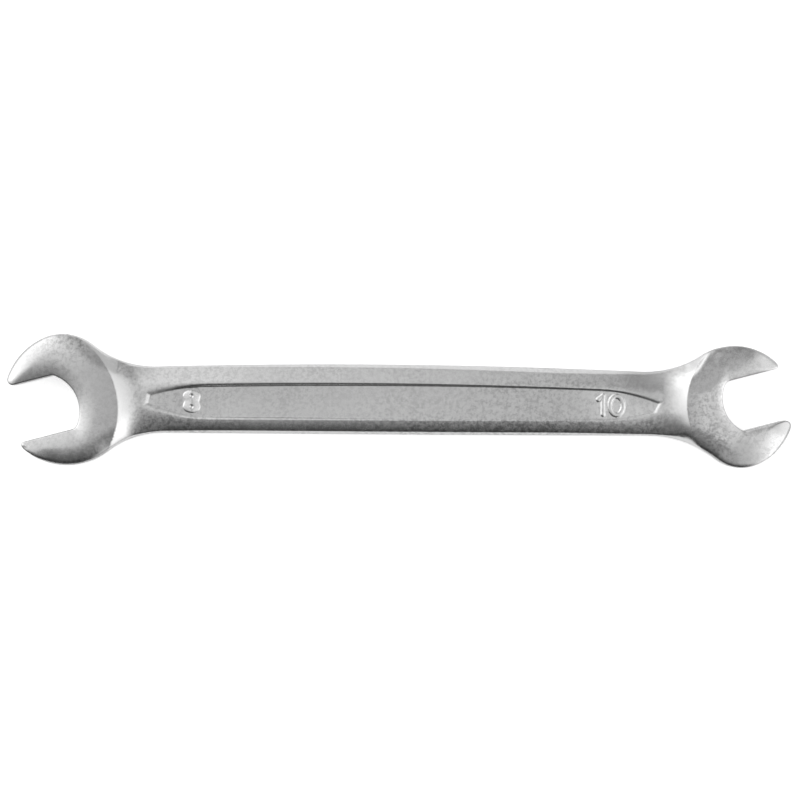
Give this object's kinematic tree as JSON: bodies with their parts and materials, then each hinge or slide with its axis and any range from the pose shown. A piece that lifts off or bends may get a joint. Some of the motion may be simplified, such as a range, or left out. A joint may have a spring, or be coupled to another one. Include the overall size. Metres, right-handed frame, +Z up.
{
  "type": "open end wrench",
  "caption": "Open end wrench forged as a solid, with slanted jaws at each end of its shank and a sunk panel along each of its faces.",
  "frame": {"origin": "middle of the box at the ground plane the two heads lie on", "axes": "+X along the shank towards the smaller opening, +Y across the shank, +Z up out of the upper face"},
  "size_m": [0.1536, 0.0258, 0.0055],
  "materials": {
    "forging": "satin chrome plate on forged steel"
  },
  "bodies": {
    "root": {"wrench_forging": "forging"}
  },
  "joints": []
}
